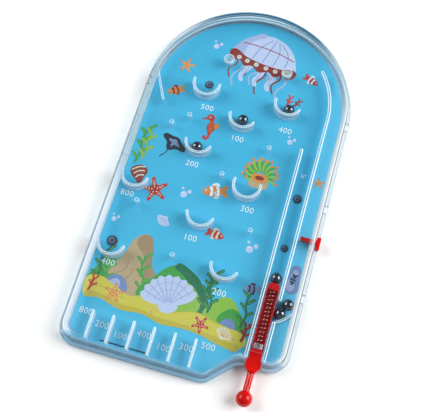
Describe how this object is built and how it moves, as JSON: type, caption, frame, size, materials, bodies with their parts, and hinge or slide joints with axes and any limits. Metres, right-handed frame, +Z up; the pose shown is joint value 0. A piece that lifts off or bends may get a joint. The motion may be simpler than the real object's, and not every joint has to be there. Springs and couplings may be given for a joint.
{
  "type": "bagatelle board game",
  "caption": "Flat clear-cased bagatelle game with a printed playfield, curved score cups, channels, a spring plunger, a ball gate and steel balls.",
  "frame": {"origin": "middle of the tray's flat underside, half way between the two sides and between the front edge and the top of the arch", "axes": "+X to the plunger's side, +Y from the front edge to the arch, +Z up out of the cover"},
  "size_m": [0.1557, 0.2907, 0.013],
  "materials": {
    "tray_plastic": "clear polystyrene, polished",
    "cover_plastic": "clear polystyrene, polished",
    "rib_plastic": "clear polystyrene, moulded with the cover",
    "card_print": "sea-blue four-colour print, satin",
    "red_plastic": "red, glossy",
    "spring_steel": "plain spring wire",
    "ball_steel": "polished bearing steel"
  },
  "bodies": {
    "case": {"base_tray": "tray_plastic", "playfield_card": "card_print", "cover": "cover_plastic", "launch_rail": "rib_plastic", "outer_rail": "rib_plastic", "outer_rail_bend": "rib_plastic", "feed_ramp": "rib_plastic", "deflector_rib": "rib_plastic", "cup_1": "rib_plastic", "cup_2": "rib_plastic", "cup_3": "rib_plastic", "cup_4": "rib_plastic", "cup_5": "rib_plastic", "cup_6": "rib_plastic", "cup_7": "rib_plastic", "cup_8": "rib_plastic", "cup_9": "rib_plastic", "guide_pins": "rib_plastic", "cover_posts": "rib_plastic", "divider_1": "rib_plastic", "divider_2": "rib_plastic", "divider_3": "rib_plastic", "divider_4": "rib_plastic", "divider_5": "rib_plastic", "divider_6": "rib_plastic", "spring_stop": "rib_plastic", "plunger_spring": "spring_steel"},
    "plunger": {"plunger": "red_plastic"},
    "gate": {"ball_gate": "red_plastic"},
    "ball_1": {"ball_1": "ball_steel"},
    "ball_2": {"ball_2": "ball_steel"},
    "ball_3": {"ball_3": "ball_steel"},
    "ball_4": {"ball_4": "ball_steel"},
    "ball_5": {"ball_5": "ball_steel"},
    "ball_6": {"ball_6": "ball_steel"}
  },
  "joints": [
    {"name": "plunger_slide", "type": "slide", "parent": "case", "child": "plunger", "axis": [0, -1, 0], "range_m": [0, 0.028], "stiffness_N_per_m": 150, "springref_m": -0.01, "deforming": ["plunger_spring"]},
    {"name": "gate_slide", "type": "slide", "parent": "case", "child": "gate", "axis": [1, 0, 0], "range_m": [0, 0.0073]},
    {"name": "ball_1_roll", "type": "slide", "parent": "case", "child": "ball_1", "axis": [0, 1, 0], "range_m": [0, 0.08]},
    {"name": "ball_2_roll", "type": "slide", "parent": "case", "child": "ball_2", "axis": [0, 1, 0], "range_m": [0, 0.055]},
    {"name": "ball_3_roll", "type": "slide", "parent": "case", "child": "ball_3", "axis": [0, 1, 0], "range_m": [0, 0.035]},
    {"name": "ball_4_roll", "type": "slide", "parent": "case", "child": "ball_4", "axis": [0, 1, 0], "range_m": [0, 0.131]},
    {"name": "ball_5_turn", "type": "hinge", "parent": "case", "child": "ball_5", "pos_m": [0.0636, -0.08386, 0.0064], "axis": [1, 0, 0], "continuous": true},
    {"name": "ball_6_roll", "type": "slide", "parent": "case", "child": "ball_6", "axis": [0, 1, 0], "range_m": [0, 0.04]}
  ]
}
